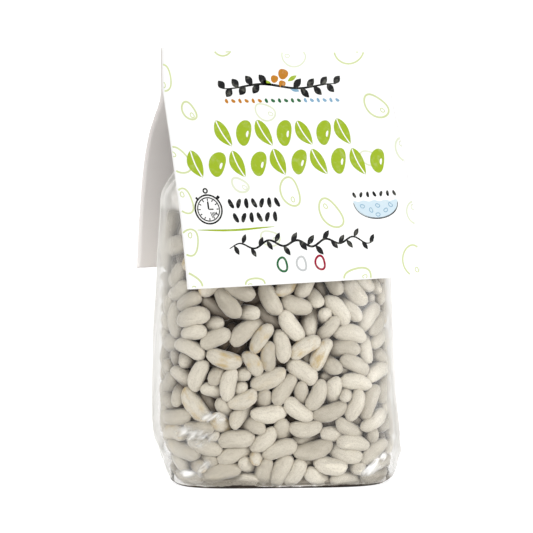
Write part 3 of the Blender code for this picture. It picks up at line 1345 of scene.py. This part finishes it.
@dataclass
class BaseHem:
    """The film's fold round the foot of the bag, with painted shadow along it, which reads as a thin
    dark line.
    """

    height: float = 5.4
    around: int = 240
    lift: float = 0.12
    inner_lift: float = 0.05

    def build(self) -> Piece:
        """Make the hem.

        Returns:
            The piece.
        """
        form = BagForm()
        rows, fades = [], []
        levels = np.concatenate([np.linspace(0.05, 2.6, 7), np.linspace(3.1, self.height, 6)])
        for lift, heights in ((self.lift, levels), (self.inner_lift, levels[::-1])):
            for z in heights:
                ring = form.surface(np.full(self.around, z), form.even_angles(z, self.around))
                out = ring - ring.mean(0)
                out[:, 2] = 0.0
                ring = ring + unit(out) * lift
                reach, veil = self.width_at(ring), self.veil_at(ring)
                rows.append(ring)
                # The dark line is partly the fold and partly painted shadow where the bag meets the
                # floor
                line = 1.20 * (1.0 - ease(z, 0.55 * reach, reach))
                veil = 0.50 * veil * (1.0 - ease(z, 3.8, self.height - 0.1))
                fades.append(np.maximum(line, veil))
        faces = tube_faces(len(rows), self.around, looped=True)
        finish, fade = HemFinish("film_fold_and_shadow").make(), {"fade": np.concatenate(fades)}
        piece = make_piece("base_hem", np.concatenate(rows), faces, finish, fade)
        face_outwards(piece)
        return piece

    def width_at(self, ring: Array) -> Array:
        """Return how high the dark line of fold and painted shadow reaches at each place round the
        base.

        Args:
            ring: The points of a ring.

        Returns:
            The heights.
        """
        x = ring[:, 0]
        fold = 1.5 * np.exp(-(((x + 24.0) / 7.0) ** 2)) + 0.9 * np.exp(-(((x - 16.0) / 9.0) ** 2))
        return 1.25 + fold + 0.20 * np.sin(0.9 * x) + 0.12 * np.sin(2.3 * x + 1.0)

    def veil_at(self, ring: Array) -> Array:
        """Return how strongly the loose fold above the dark line shows at each place."""
        x = ring[:, 0]
        return np.exp(-(((x + 28.0) / 11.0) ** 2)) + 0.45 * np.exp(-(((x - 30.0) / 9.0) ** 2))


@dataclass
class HeaderCard:
    """The folded printed card: one sheet over the bag's top.

    A panel's rows are (distance below the fold, distance out from the fold's plane).
    """

    width: float = 100.0
    length: float = 92.0
    shut: float = 16.0
    top: float = 177.0
    thickness: float = 0.36
    radius: float = 0.85
    columns: int = 50
    front: Array = field(
        default_factory=lambda: np.array(
            (
                (16.0, 0.95), (28.0, 6.4), (37.0, 10.7), (46.0, 14.6), (57.5, 19.6),
                (68.0, 23.6), (80.0, 27.0), (92.0, 29.8),
            )
        )
    )
    back: Array = field(
        default_factory=lambda: np.array(
            (
                (16.0, 0.95), (20.0, 2.2), (27.8, 9.9), (34.0, 15.8), (43.3, 21.4),
                (53.4, 25.6), (66.0, 29.2), (81.2, 32.8), (91.6, 35.0),
            )
        )
    )

    def stand_off(self, x: Array, drop: Array, side: float) -> Array:
        """Return how far a panel's middle layer stands out at each place.

        Args:
            x: The places to the right of the card's middle.
            drop: The places below the fold, of the same shape.
            side: 1 for the front panel and -1 for the back one.

        Returns:
            The distances from the fold's plane.
        """
        panel = self.front if side > 0.0 else self.back
        straight = through(panel, 1, np.maximum(drop, panel[0, 0]))
        open_part = ease(drop, self.shut, 40.0)
        place = x / (0.5 * self.width)
        lean = 1.0 + side * 0.045 * place * open_part * (1.0 - 0.5 * ease(drop, 70.0, self.length))
        bulge = 0.5 * (1.0 - place**2) * open_part * ease(drop, 20.0, 70.0)
        return straight * lean + bulge

    def layer(self, x: Array, drop: Array, side: float = 1.0) -> Array:
        """Return points on a panel's middle layer: side is 1 in front and -1 behind."""
        return np.stack([x, -side * self.stand_off(x, drop, side), self.top - drop], -1)

    def front_surface(self, x: Array, drop: Array, lift: float) -> Array:
        """Return points on the printed face, lifted off it by so much.

        Args:
            x: The places to the right of the card's middle.
            drop: The places below the fold, of the same shape.
            lift: How far they stand off the face.

        Returns:
            The points.
        """
        step = 0.25
        across = self.layer(x + step, drop) - self.layer(x - step, drop)
        down = self.layer(x, drop + step) - self.layer(x, drop - step)
        normal = unit(np.cross(down, across))
        return self.layer(x, drop) + normal * (0.5 * self.thickness + lift)

    def sheet(self) -> Array:
        """Return the middle layer's grid: up the front, over the fold and down the back.

        Returns:
            The points, by row and place in the row.
        """
        x = np.linspace(-0.5, 0.5, self.columns) * self.width
        open_drops = np.linspace(self.length, self.shut, 77)
        drops = np.concatenate([open_drops, np.linspace(self.shut - 1.0, 3.0, 7)])
        centre = self.top - 0.5 * self.thickness - self.radius
        front = [self.layer(x, np.full_like(x, d)) for d in drops]
        back = [self.layer(x, np.full_like(x, d), -1.0) for d in drops[::-1]]
        fold = []
        for t in np.linspace(0.0, math.pi, 13):
            y, z = -self.radius * math.cos(t), centre + self.radius * math.sin(t)
            fold.append(np.stack([x, np.full_like(x, y), np.full_like(x, z)], -1))
        return np.stack(front + fold + back)

    def build(self) -> Piece:
        """Make the folded sheet.

        Returns:
            The piece.
        """
        middle = self.sheet()
        normal = unit(np.cross(np.gradient(middle, axis=1), np.gradient(middle, axis=0)))
        away = normal * 0.5 * self.thickness
        points = np.concatenate([(middle + away).reshape(-1, 3), (middle - away).reshape(-1, 3)])
        count, wide = middle.shape[:2]
        half = count * wide
        faces = []
        for i in range(count - 1):
            for j in range(wide - 1):
                a = i * wide + j
                faces.append([a, a + 1, a + wide + 1, a + wide])
                faces.append([half + a, half + a + wide, half + a + wide + 1, half + a + 1])
        grid = np.arange(half).reshape(count, wide)
        rim = [*grid[0], *grid[1:, -1], *grid[-1, -2::-1], *grid[-2:0:-1, 0]]
        for a, b in zip(rim, rim[1:] + rim[:1]):
            faces.append([b, a, half + a, half + b])
        inside = {"inner": np.repeat([0.0, 1.0], half)}
        piece = make_piece("card", points, faces, CardFinish("white_card").make(), inside)
        face_outwards(piece)
        return piece


@dataclass
class Marks:
    """Flat printed marks in the card's own millimetres: x to the right, drop below the fold."""

    points: list[Pair] = field(default_factory=list)
    faces: list[list[int]] = field(default_factory=list)
    inks: list[Colour] = field(default_factory=list)
    root: float = -0.06

    def strip(self, left: Array, right: Array, ink: Ink, closed: bool = False) -> None:
        """Add a strip between two lines of the same number of points.

        Args:
            left: The points of one line.
            right: The points of the other line.
            ink: Its colour.
            closed: Whether the strip ends where it starts.
        """
        start, count = len(self.points), len(left)
        for pair in zip(left.tolist(), right.tolist()):
            self.points.extend(tuple(p) for p in pair)
        self.inks.extend([ink.value] * (2 * count))
        for i in range(count if closed else count - 1):
            a, b = start + 2 * i, start + 2 * ((i + 1) % count)
            self.faces.append([a, a + 1, b + 1, b])

    def stroke(
        self, line: Array, width: float, ink: Ink, taper: float = 0.5, closed: bool = False
    ) -> None:
        """Add a brush stroke along a line.

        Args:
            line: The points that it follows.
            width: Its width at the middle.
            ink: Its colour.
            taper: The share of the width that is lost at both ends.
            closed: Whether the line ends where it starts.
        """
        if closed:
            way = np.roll(line, -1, 0) - np.roll(line, 1, 0)
            wide = np.full(len(line), width)
        else:
            way = np.gradient(line, axis=0)
            share = np.linspace(0.0, 1.0, len(line))
            wide = width * (1.0 - taper * np.abs(2.0 * share - 1.0) ** 3)
        side = unit(np.stack([-way[:, 1], way[:, 0]], 1)) * (0.5 * wide)[:, None]
        self.strip(line - side, line + side, ink, closed)

    def blob(self, outline: Array, ink: Ink) -> None:
        """Add a filled shape that its own centre sees all of.

        Args:
            outline: The points of its closed line.
            ink: Its colour.
        """
        middle, count = outline.mean(0), len(outline)
        start = len(self.points)
        self.points.append(tuple(middle))
        for share in (0.35, 0.7, 1.0):
            self.points.extend(tuple(p) for p in (middle + (outline - middle) * share).tolist())
        self.inks.extend([ink.value] * (1 + 3 * count))
        for i in range(count):
            j = (i + 1) % count
            self.faces.append([start, start + 1 + i, start + 1 + j])
            for ring in range(2):
                a, b = start + 1 + ring * count, start + 1 + (ring + 1) * count
                self.faces.append([a + i, b + i, b + j, a + j])

    def clipped(self, card: HeaderCard) -> tuple[Array, list[list[int]]]:
        """Return the points, and the faces that lie on the card.

        Args:
            card: The card that they are printed on.

        Returns:
            All the points, and the faces that are kept.
        """
        flat = np.array(self.points)
        limit = 0.5 * card.width - 0.05
        good = (np.abs(flat[:, 0]) < limit) & (flat[:, 1] > 1.2) & (flat[:, 1] < 91.7)
        return flat, [f for f in self.faces if all(good[f])]

    def build(
        self, name: str, card: HeaderCard, material: bpy.types.Material, lift: float
    ) -> Piece:
        """Lay the marks on the card as one thin closed piece.

        Args:
            name: The piece's name.
            card: The card that they are printed on.
            material: The ink.
            lift: How far it stands off the card, so that marks that cross don't meet.

        Returns:
            The piece.
        """
        flat, faces = self.clipped(card)
        used = np.unique(np.concatenate([np.array(f) for f in faces]))
        number = {int(old): new for new, old in enumerate(used)}
        faces = [[number[i] for i in f] for f in faces]
        flat, inks = flat[used], np.array(self.inks)[used]
        x, drop = flat[:, 0], flat[:, 1]
        face, root = card.front_surface(x, drop, lift), card.front_surface(x, drop, self.root)
        points = np.concatenate([face, root])
        count = len(flat)
        edges: dict[tuple[int, int], None] = {}
        for face in faces:
            for a, b in zip(face, face[1:] + face[:1]):
                if (b, a) in edges:
                    del edges[(b, a)]
                else:
                    edges[(a, b)] = None
        solid = list(faces) + [[i + count for i in reversed(f)] for f in faces]
        solid += [[b, a, a + count, b + count] for a, b in edges]
        colours = np.concatenate([inks, inks])
        colours = np.concatenate([colours, np.ones((len(colours), 1))], 1)
        piece = make_piece(name, points, solid, material, {"ink": colours}, smooth=False)
        face_outwards(piece)
        return piece


def placed(u: Array, v: Array, x: float, drop: float, turn: float) -> Array:
    """Return a flat shape's points, turned by degrees from level and moved to their place."""
    along, across = spun(u, v, math.radians(turn))
    return np.stack([x + along, drop + across], -1)


def bean_line(
    x: float, drop: float, length: float, width: float, turn: float, steps: int = 36
) -> Array:
    """Return a closed bean-shaped line.

    Args:
        x: Its middle, to the right.
        drop: Its middle, below the fold.
        length: Its length.
        width: Its width.
        turn: How its length is turned, in degrees from level.
        steps: The number of points.

    Returns:
        The points of the line.
    """
    t = np.linspace(0.0, CIRCLE, steps, endpoint=False)
    along, across = np.cos(t), np.sin(t)
    across = across * (1.0 + 0.05 * along**2) + 0.22 * (0.45 - along**2)
    return placed(along * length * 0.5, across * width * 0.5, x, drop, turn)


def leaf_line(
    x: float, drop: float, length: float, width: float, turn: float, steps: int = 20
) -> Array:
    """Return a closed leaf-shaped line.

    Args:
        x: Its stalk's end, to the right.
        drop: Its stalk's end, below the fold.
        length: Its length.
        width: Its width.
        turn: How its length is turned, in degrees from level.
        steps: The number of points.

    Returns:
        The points of the line, from the stalk's end.
    """
    t = np.linspace(0.0, CIRCLE, steps, endpoint=False)
    along = 0.5 - 0.5 * np.cos(t)
    across = np.sin(t) * np.sqrt(np.clip(np.sin(along * math.pi), 0.0, 1.0)) * 0.9
    return placed(along * length, across * width * 0.5, x, drop, turn)


@dataclass
class CardPrint:
    """The card's print: generic brush marks, pictograms and bean outlines."""

    card: HeaderCard
    seed: int = 3

    def build(self) -> list[Piece]:
        """Make every printed piece.

        Returns:
            The pieces.
        """
        ink = InkFinish("ink").make()
        fields = {
            "print_outlines": (self.outlines(), 0.035),
            "print_sprig": (self.sprig(), 0.060),
            "print_rows": (self.rows(), 0.060),
            "print_timer": (self.timer(), 0.060),
            "print_bowl": (self.bowl(), 0.060),
            "print_vine": (self.vine(), 0.060),
        }
        return [marks.build(name, self.card, ink, lift) for name, (marks, lift) in fields.items()]

    def outlines(self) -> Marks:
        """Draw the scatter of pale green bean outlines, each with an eye.

        Returns:
            The marks.
        """
        marks = Marks()
        draw = np.random.default_rng(self.seed)
        places = (
            (-25, 0.6, 7.5, 10, 0), (6, 3.6, 10.5, 8, 1), (31, 1.4, 13.5, -8, 0),
            (-50, 11.9, 10.5, 80, 0), (-40.4, 24.8, 7.4, 60, 0), (41.8, 23.8, 11.5, 35, 0),
            (-8.2, 25.6, 8.6, 20, 1), (-47.5, 43.6, 11.0, 50, 0), (50, 41.7, 9.5, 80, 1),
            (-23.9, 53.6, 7.2, 30, 1), (-3.2, 56.8, 11.2, 80, 0), (12.8, 65.6, 12.6, 55, 0),
            (-47.5, 59.0, 9.6, 75, 0), (-47.4, 74.5, 10.0, 100, 0), (-14.3, 74.2, 8.0, 15, 1),
            (50, 66.9, 9.0, 80, 1), (-50, 90, 12.5, 30, 0), (-22.3, 91.8, 8.0, 0, 0),
            (21.6, 91.4, 12.0, -10, 0), (47.5, 86.0, 13.0, 75, 0), (34.0, 44.5, 8.0, 15, 1),
        )
        for x, drop, length, turn, faint in places:
            ink = Ink.FAINT if faint else Ink.PALE
            line = bean_line(x, drop, length, length * draw.uniform(0.62, 0.74), turn)
            marks.stroke(line, draw.uniform(0.66, 0.86), ink, closed=True)
            swing = turn + 180.0 * draw.integers(0, 2)
            eye_x, eye_drop = placed(0.27 * length, 0.0, x, drop, swing)
            marks.stroke(bean_line(eye_x, eye_drop, 2.0, 1.4, turn, 16), 0.42, ink, closed=True)
        return marks

    def sprig(self) -> Marks:
        """Draw a charcoal sprig with berries, and a row of small coloured seeds under it.

        Returns:
            The marks.
        """
        marks = Marks()
        reach, level = 25.0, 15.4
        t = np.linspace(-1.0, 1.0, 60)
        stem = np.stack([t * reach, level + 0.9 * np.sin(t * 5.0)], 1)
        marks.stroke(stem, 0.95, Ink.CHARCOAL, 0.7)
        for i, share in enumerate(np.linspace(-0.96, 0.96, 17)):
            if abs(share) < 0.2:
                continue
            x, drop = share * reach, level + 0.9 * math.sin(share * 5.0)
            lean = 50.0 if i % 2 else -50.0
            turn = lean if share > 0.0 else 180.0 - lean
            marks.blob(leaf_line(x, drop, 5.4 - 1.2 * abs(share), 3.3, turn), Ink.CHARCOAL)
        for x, drop, size in ((-2.4, 12.4, 1.6), (1.4, 10.4, 2.2), (1.0, 14.4, 1.5)):
            marks.blob(bean_line(x, drop, 2 * size, 1.9 * size, 15.0, 24), Ink.ORANGE)
        for x, drop, turn, ink in (
            (-3.4, 15.0, 205.0, Ink.LEAF),
            (3.4, 13.4, -30.0, Ink.LEAF),
            (4.0, 16.0, 20.0, Ink.LAKE),
        ):
            marks.blob(leaf_line(x, drop, 4.6, 2.0, turn), ink)
        inks = (Ink.ORANGE, Ink.PINE, Ink.LAKE)
        for i in range(18):
            seed = bean_line(-24.0 + i * 2.86, 21.2, 1.9, 1.25, 70.0 - 40.0 * (i % 2), 14)
            marks.blob(seed, inks[i // 6])
        return marks

    def rows(self) -> Marks:
        """Draw the two rows of large green brushed leaves and beans.

        Returns:
            The marks.
        """
        marks = Marks()
        draw = np.random.default_rng(self.seed + 1)
        for drop, low, high, count in ((33.7, -27.4, 24.6, 7), (45.4, -40.6, 37.6, 10)):
            for i in range(count):
                x = low + (high - low) * i / (count - 1)
                lean = draw.uniform(14.0, 28.0) * (1 if i % 2 else -1)
                place = (x, drop + draw.uniform(-0.4, 0.4))
                if i % 2 == 0:
                    size = (draw.uniform(10.6, 11.4), draw.uniform(5.6, 6.4))
                    self.leaf(marks, place, size, 90.0 + lean)
                else:
                    size = (draw.uniform(9.8, 10.6), draw.uniform(6.0, 6.6))
                    self.bean(marks, place, size, 90.0 + lean)
        return marks

    def bean(self, marks: Marks, place: Pair, size: Pair, turn: float) -> None:
        """Draw a filled bean with a white eye in its hollow side.

        Args:
            marks: The marks that it joins.
            place: Its middle: to the right, and below the fold.
            size: Its length and width.
            turn: How its length is turned, in degrees from level.
        """
        length, width = size
        eye_x, eye_drop = placed(0.0, -0.22 * width, *place, turn)
        eye = bean_line(eye_x, eye_drop, 0.26 * length, 0.16 * width, turn, 30)
        marks.strip(bean_line(*place, length, width, turn, 30), eye, Ink.LEAF, closed=True)

    def leaf(self, marks: Marks, place: Pair, size: Pair, turn: float) -> None:
        """Draw a leaf in two halves with a white midrib, about its middle.

        Args:
            marks: The marks that it joins.
            place: Its middle: to the right, and below the fold.
            size: Its length and width.
            turn: How its length is turned, in degrees from level.
        """
        length, width = size
        along = np.linspace(0.0, 1.0, 22)
        half = 0.5 * width * np.sin(math.pi * along**0.85) ** 0.8
        sway = 0.6 * np.sin(math.pi * along)
        for side in (-1.0, 1.0):
            near, far = sway + side * np.minimum(0.28, 0.5 * half), sway + side * half
            lines = [placed((along - 0.5) * length, v, *place, turn) for v in (near, far)]
            marks.strip(*lines, Ink.LEAF)

    def timer(self) -> Marks:
        """Draw the stopwatch pictogram with plain seeds beside it and a green line under it.

        Returns:
            The marks.
        """
        marks = Marks()
        x, drop = -38.3, 62.4
        t = np.linspace(0.0, CIRCLE, 48, endpoint=False)
        ring = np.stack([np.cos(t), np.sin(t)], 1)
        middle = np.array([x, drop])
        loops = ((5.4, 0.0, 0.0, 0.62), (4.4, 0.0, 0.0, 0.42), (0.8, -0.4, -7.0, 0.55))
        for radius, right, down, width in loops:
            loop = middle + ring * radius + np.array([right, down])
            marks.stroke(loop, width, Ink.CHARCOAL, closed=True)
        # Turn in degrees, nearest and farthest reach and width of each hand, tick and knob
        lines = [(-90.0 + 30.0 * k, 3.2, 4.1, 0.40) for k in range(12)]
        lines += [(-90.0, 0.0, 3.0, 0.65), (0.0, 0.0, 2.0, 0.55)]
        lines += [(-45.0, 5.7, 6.9, 1.2), (-135.0, 5.7, 6.5, 0.8)]
        for turn, near, far, width in lines:
            way = placed(1.0, 0.0, 0.0, 0.0, turn)
            line = middle + np.outer(np.linspace(near, far, 5), way)
            marks.stroke(line, width, Ink.CHARCOAL, 0.2)
        for k in range(5):
            start = np.array([x + 0.5 + 0.6 * k, drop + 1.0])
            line = start + np.outer(np.linspace(0.0, 2.4 - 0.4 * k, 4), (0.35, 1.0))
            marks.stroke(line, 0.30, Ink.CHARCOAL, 0.4)
        for level, low, high, count in ((60.6, -28.9, -9.6, 7), (66.0, -27.6, -11.2, 6)):
            for i in range(count):
                seed_x = low + (high - low) * i / (count - 1)
                lean = 90.0 + 24.0 * ((i * 2) % 3 - 1)
                marks.blob(bean_line(seed_x, level, 3.9, 1.75, lean, 24), Ink.CHARCOAL)
        u = np.linspace(-44.0, -12.0, 40)
        marks.stroke(np.stack([u, 70.2 + 0.35 * np.sin(0.16 * u)], 1), 0.75, Ink.LEAF, 0.85)
        return marks

    def bowl(self) -> Marks:
        """Draw the half-bowl pictogram with plain dashes over it.

        Returns:
            The marks.
        """
        marks = Marks()
        x, top, reach = 33.2, 61.4, 9.9
        t = np.linspace(0.0, math.pi, 40)
        arc = np.stack([x + reach * np.cos(t), top + 6.9 * np.sin(t) ** 0.9], 1)
        rim_x = np.linspace(x - reach, x + reach, 40)
        rim = np.stack([rim_x, top + 0.25 * np.sin(1.3 * rim_x)], 1)
        marks.blob(np.concatenate([arc, rim[1:-1]]), Ink.SKY)
        marks.stroke(arc[1:-1], 0.55, Ink.CHARCOAL, 0.6)
        soaked = ((-6.2, 2.0, 10), (-2.6, 3.6, 70), (0.6, 1.9, 20), (3.9, 3.8, -30))
        for dx, down, turn in (*soaked, (6.4, 1.8, 40), (0.2, 5.4, 0)):
            line = bean_line(x + dx, top + down, 1.9, 1.3, turn, 16)
            marks.stroke(line, 0.34, Ink.LAKE, closed=True)
        for i in range(7):
            middle = x - 9.0 + 3.0 * i
            lean = 90.0 + 26.0 * ((i * 2) % 3 - 1)
            dash = bean_line(middle, 58.8 - 0.02 * (middle - x), 2.3, 1.25, lean, 16)
            marks.blob(dash, Ink.CHARCOAL)
        return marks

    def vine(self) -> Marks:
        """Draw a long waved stroke with leaves, and three bean outlines under it.

        Returns:
            The marks.
        """
        marks = Marks()
        u = np.linspace(-31.5, 30.0, 120)
        wave = 76.5 + 1.2 * np.sin(0.52 * u) + 0.4 * np.sin(0.21 * u + 1.0)
        marks.stroke(np.stack([u, wave], 1), 0.85, Ink.CHARCOAL, 0.6)
        for i, x in enumerate(np.arange(-29.5, 29.0, 3.4)):
            drop = float(np.interp(x, u, wave))
            turn = (-58.0 if i % 2 else 58.0) + 8.0 * math.sin(x)
            size = 1.0 + 0.25 * math.exp(-((x / 12.0) ** 2))
            marks.blob(leaf_line(x, drop, 4.0 * size, 2.0 * size, turn), Ink.CHARCOAL)
        for x, ink in ((-10.2, Ink.PINE), (-2.1, Ink.SILVER), (5.9, Ink.CHERRY)):
            marks.stroke(bean_line(x, 84.5, 5.4, 3.9, 80.0, 28), 0.85, ink, closed=True)
        return marks


@dataclass
class Studio:
    """The camera at the photo's view, a pale floor and soft light."""

    lens: float = 101.3
    azimuth: float = -22.2
    elevation: float = 7.8
    distance: float = 620.0
    aim: tuple[float, float, float] = (0.0, 0.0, 85.0)
    shift: Pair = (-5.0, 2.6)
    sensor: float = 36.0
    clip: Pair = (0.02, 30.0)
    floor_side: float = 3000.0
    floor_drop: float = 0.15
    surround: float = 0.24

    def axes(self) -> tuple[Vector, Vector, Vector]:
        """Return the camera's right, up and back.

        Returns:
            The three ways, each of length one.
        """
        a, e = math.radians(self.azimuth), math.radians(self.elevation)
        back = Vector((math.sin(a) * math.cos(e), -math.cos(a) * math.cos(e), math.sin(e)))
        right = Vector((math.cos(a), math.sin(a), 0.0))
        return right, back.cross(right), back

    def build(self) -> None:
        """Make the camera, the floor and the lights."""
        right, up, back = self.axes()
        right, up, back = self.axes()
        aside = right * self.shift[0] + up * self.shift[1]
        place = Vector(self.aim) + aside + back * self.distance
        camera = add_object("camera", bpy.data.cameras.new("camera"))
        camera.data.lens = self.lens
        camera.data.sensor_width = self.sensor
        camera.data.clip_start, camera.data.clip_end = self.clip
        turn = Matrix((right, up, back)).transposed().to_4x4()
        camera.matrix_world = Matrix.Translation(place * MM) @ turn
        bpy.context.scene.camera = camera
        self.floor()
        self.lights()

    def floor(self) -> None:
        """Make the floor, curved up behind."""
        rows = (
            (-2500.0, 0.0), (900.0, 0.0), (1150.0, 40.0), (1350.0, 160.0), (1480.0, 400.0),
            (1500.0, 3000.0),
        )
        sides = (-self.floor_side, self.floor_side)
        points = [(x, y, z - self.floor_drop) for y, z in rows for x in sides]
        faces = [[2 * i, 2 * i + 1, 2 * i + 3, 2 * i + 2] for i in range(len(rows) - 1)]
        floor = make_piece("floor", np.array(points), faces, FloorFinish("pale_floor").make())

    def lights(self) -> None:
        """Make the soft lights and the pale surround."""
        bag, wall = (0.0, 0.0, 0.08), (0.25, 1.35, 0.45)
        for name, place, goal, size, power in (
            ("key", (-1.00, -0.80, 1.15), bag, 0.45, 11.4),
            ("side", (-1.30, -0.15, 0.42), bag, 0.55, 2.8),
            ("fill", (0.90, -1.00, 0.42), bag, 0.60, 12.6),
            ("top", (0.10, 0.15, 1.50), bag, 0.80, 4.0),
            ("wall", (0.20, 0.30, 1.50), wall, 1.20, 8.0),
        ):
            lamp = bpy.data.lights.new(name, "AREA")
            lamp.shape, lamp.size, lamp.energy = "DISK", size, power
            light = add_object(name, lamp)
            light.location = place
            aim = Vector(goal) - Vector(place)
            light.rotation_euler = aim.to_track_quat("-Z", "Y").to_euler()
        world = bpy.data.worlds.new("surround")
        world.use_nodes = True
        surround = world.node_tree.nodes["Background"].inputs
        surround[0].default_value = (1.0, 1.0, 1.0, 1.0)
        surround[1].default_value = self.surround
        bpy.context.scene.world = world
        bpy.context.scene.view_settings.view_transform = "Standard"


def dress(pieces: Iterable[Piece], node: str) -> None:
    """Make pieces ride on the body and stand for a CAD node.

    Args:
        pieces: The pieces.
        node: The CAD node that they stand for.
    """
    for piece in pieces:
        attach(piece, BODY)
        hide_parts(node)
        LOG.info("%s: %d faces", piece.name, len(piece.data.polygons))


def main() -> None:
    """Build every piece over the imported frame."""
    logging.basicConfig(level=logging.INFO, format="%(name)s: %(message)s")
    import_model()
    Studio().build()
    beans = BeanBed().build()
    core = BeanCore().build()
    film = FilmSkin().build(beans)
    hem = BaseHem().build()
    dress((beans, core, film, hem), "bag")
    card = HeaderCard()
    dress([card.build(), *CardPrint(card).build()], "header_card")


if __name__ == "__main__":
    main()
